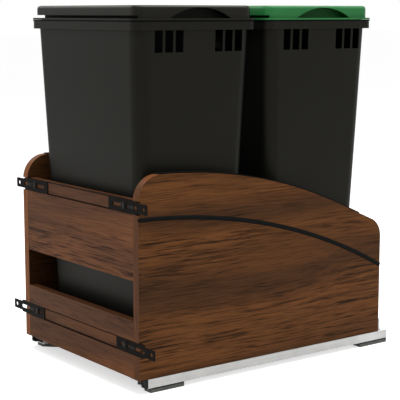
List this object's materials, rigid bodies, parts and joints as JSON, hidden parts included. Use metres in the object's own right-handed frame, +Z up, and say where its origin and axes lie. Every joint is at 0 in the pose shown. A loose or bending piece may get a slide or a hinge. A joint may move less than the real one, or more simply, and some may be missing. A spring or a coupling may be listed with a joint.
{
  "type": "pull-out waste cabinet",
  "caption": "Walnut pull-out waste cabinet on floor slides, with lidded bins one behind the other and adjustable brackets for a door.",
  "frame": {"origin": "centre of the overall footprint on the floor under the feet", "axes": "+Z up, -Y is the front that faces the room and the way the drawer pulls out, +X is to the right for someone facing the front"},
  "size_m": [0.4812, 0.584, 0.6502],
  "materials": {
    "walnut": "satin walnut veneer",
    "black_strip": "matte black strip",
    "bin_plastic": "moulded black plastic, light grain",
    "green_plastic": "moulded green plastic, satin",
    "black_steel": "black powder coat",
    "zinc_steel": "bright zinc-plated sheet",
    "black_plastic": "moulded black fittings",
    "foot_metal": "grey cast feet"
  },
  "bodies": {
    "slide_base": {"cabinet_member_left": "zinc_steel", "cabinet_member_right": "zinc_steel", "front_end_cap_left": "black_plastic", "front_end_cap_right": "black_plastic", "foot_front_left": "foot_metal", "foot_front_right": "foot_metal", "foot_rear_left": "foot_metal", "foot_rear_right": "foot_metal", "foot_pad_front_left": "black_plastic", "foot_pad_front_right": "black_plastic", "foot_pad_rear_left": "black_plastic", "foot_pad_rear_right": "black_plastic"},
    "lower_cages": {"lower_roller_cage_left": "zinc_steel", "lower_roller_cage_right": "zinc_steel"},
    "slide_middle": {"middle_member_left": "zinc_steel", "middle_member_right": "zinc_steel"},
    "upper_cages": {"upper_roller_cage_left": "zinc_steel", "upper_roller_cage_right": "zinc_steel"},
    "carriage": {"side_panel_left": "walnut", "side_panel_right": "walnut", "lower_front_board": "walnut", "upper_front_board": "walnut", "back_board": "walnut", "base_board": "walnut", "front_bin_cleat_front": "walnut", "front_bin_cleat_back": "walnut", "rear_bin_cleat_front": "walnut", "rear_bin_cleat_back": "walnut", "inlay_strip_left": "black_strip", "inlay_strip_right": "black_strip", "edge_strip_left": "black_strip", "edge_strip_right": "black_strip", "bracket_clamp_upper_left": "black_steel", "bracket_clamp_upper_right": "black_steel", "bracket_clamp_lower_left": "black_steel", "bracket_clamp_lower_right": "black_steel", "drawer_member_left": "zinc_steel", "drawer_member_right": "zinc_steel", "rear_hook_bracket_left": "zinc_steel", "rear_hook_bracket_right": "zinc_steel", "locking_clip_left": "black_plastic", "locking_clip_right": "black_plastic"},
    "release_lever_left": {"release_lever_left": "black_plastic"},
    "release_lever_right": {"release_lever_right": "black_plastic"},
    "bracket_upper_left": {"door_bracket_upper_left": "black_steel"},
    "bracket_upper_right": {"door_bracket_upper_right": "black_steel"},
    "bracket_lower_left": {"door_bracket_lower_left": "black_steel"},
    "bracket_lower_right": {"door_bracket_lower_right": "black_steel"},
    "front_bin": {"front_bin": "bin_plastic"},
    "rear_bin": {"rear_bin": "bin_plastic"},
    "front_lid": {"front_lid": "bin_plastic"},
    "rear_lid": {"rear_lid": "green_plastic"}
  },
  "joints": [
    {"name": "pull_out", "type": "slide", "parent": "slide_base", "child": "carriage", "axis": [0, -1, 0], "range_m": [0, 0.532]},
    {"name": "middle_slide", "type": "slide", "parent": "slide_base", "child": "slide_middle", "axis": [0, -1, 0], "range_m": [0, 0.266]},
    {"name": "lower_cage_roll", "type": "slide", "parent": "slide_base", "child": "lower_cages", "axis": [0, -1, 0], "range_m": [0, 0.133]},
    {"name": "upper_cage_roll", "type": "slide", "parent": "slide_base", "child": "upper_cages", "axis": [0, -1, 0], "range_m": [0, 0.399]},
    {"name": "release_left", "type": "hinge", "parent": "carriage", "child": "release_lever_left", "pos_m": [-0.1432, -0.2681, 0.0222], "axis": [0, 0, 1], "range_deg": [0, 12], "stiffness_Nm_per_rad": 0.05},
    {"name": "release_right", "type": "hinge", "parent": "carriage", "child": "release_lever_right", "pos_m": [0.1432, -0.2681, 0.0222], "axis": [0, 0, -1], "range_deg": [0, 12], "stiffness_Nm_per_rad": 0.05},
    {"name": "bracket_upper_left_slide", "type": "slide", "parent": "carriage", "child": "bracket_upper_left", "axis": [-1, 0, 0], "range_m": [-0.006, 0.032]},
    {"name": "bracket_upper_right_slide", "type": "slide", "parent": "carriage", "child": "bracket_upper_right", "axis": [1, 0, 0], "range_m": [-0.006, 0.032]},
    {"name": "bracket_lower_left_slide", "type": "slide", "parent": "carriage", "child": "bracket_lower_left", "axis": [-1, 0, 0], "range_m": [-0.0264, 0.0115]},
    {"name": "bracket_lower_right_slide", "type": "slide", "parent": "carriage", "child": "bracket_lower_right", "axis": [1, 0, 0], "range_m": [-0.0264, 0.0115]},
    {"name": "front_bin_lift", "type": "slide", "parent": "carriage", "child": "front_bin", "axis": [0, 0, 1], "range_m": [0, 0.35]},
    {"name": "rear_bin_lift", "type": "slide", "parent": "carriage", "child": "rear_bin", "axis": [0, 0, 1], "range_m": [0, 0.35]},
    {"name": "front_lid_lift", "type": "slide", "parent": "front_bin", "child": "front_lid", "axis": [0, 0, 1], "range_m": [0, 0.12]},
    {"name": "rear_lid_lift", "type": "slide", "parent": "rear_bin", "child": "rear_lid", "axis": [0, 0, 1], "range_m": [0, 0.12]}
  ],
  "couplings": [
    {"joint": "middle_slide", "follows": "pull_out", "ratio": 0.5},
    {"joint": "lower_cage_roll", "follows": "pull_out", "ratio": 0.25},
    {"joint": "upper_cage_roll", "follows": "pull_out", "ratio": 0.75}
  ]
}
